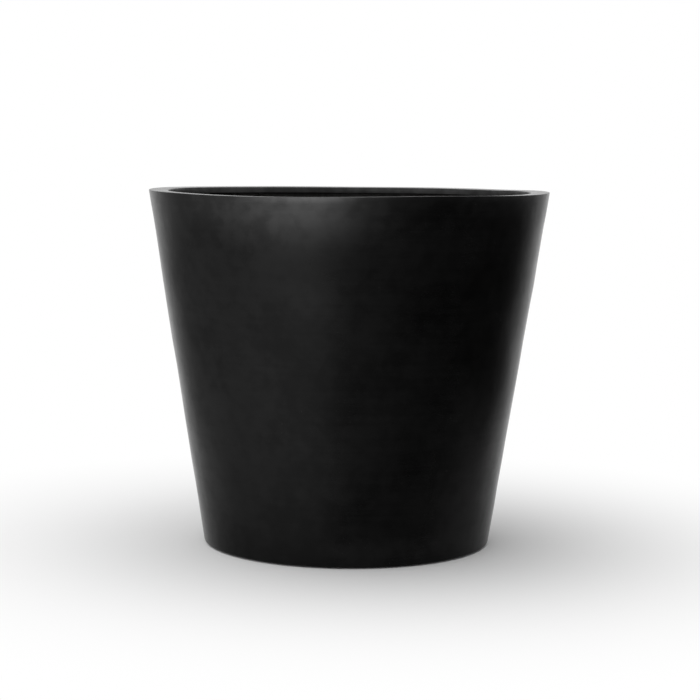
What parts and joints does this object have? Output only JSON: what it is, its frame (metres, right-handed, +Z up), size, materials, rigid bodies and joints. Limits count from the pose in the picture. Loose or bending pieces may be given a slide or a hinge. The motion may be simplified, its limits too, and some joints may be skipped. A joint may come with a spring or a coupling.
{
  "type": "floor planter",
  "caption": "Tapered round floor planter in satin black cast stone, with a flat inward-turned rim, a glass-fibre lining, a rubber drain plug and rubber foot pads.",
  "frame": {"origin": "on the ground under the middle of the pot", "axes": "+Z up along the pot's axis, with the pads on the diagonals between X and Y"},
  "size_m": [0.6794, 0.6792, 0.602],
  "materials": {
    "stone_facing": "satin",
    "glass_fibre": "matte",
    "resin_putty": "matte",
    "plug_rubber": "matte",
    "pad_rubber": "matte"
  },
  "bodies": {
    "pot": {"facing_shell": "stone_facing", "rim_backing": "glass_fibre", "wall_lining": "glass_fibre", "floor_panel": "glass_fibre", "corner_fillet": "resin_putty", "foot_pad_1": "pad_rubber", "foot_pad_2": "pad_rubber", "foot_pad_3": "pad_rubber", "foot_pad_4": "pad_rubber"},
    "plug": {"drain_plug": "plug_rubber"}
  },
  "joints": [
    {"name": "plug_pull", "type": "slide", "parent": "pot", "child": "plug", "axis": [0, 0, 1], "range_m": [0, 0.62]}
  ]
}
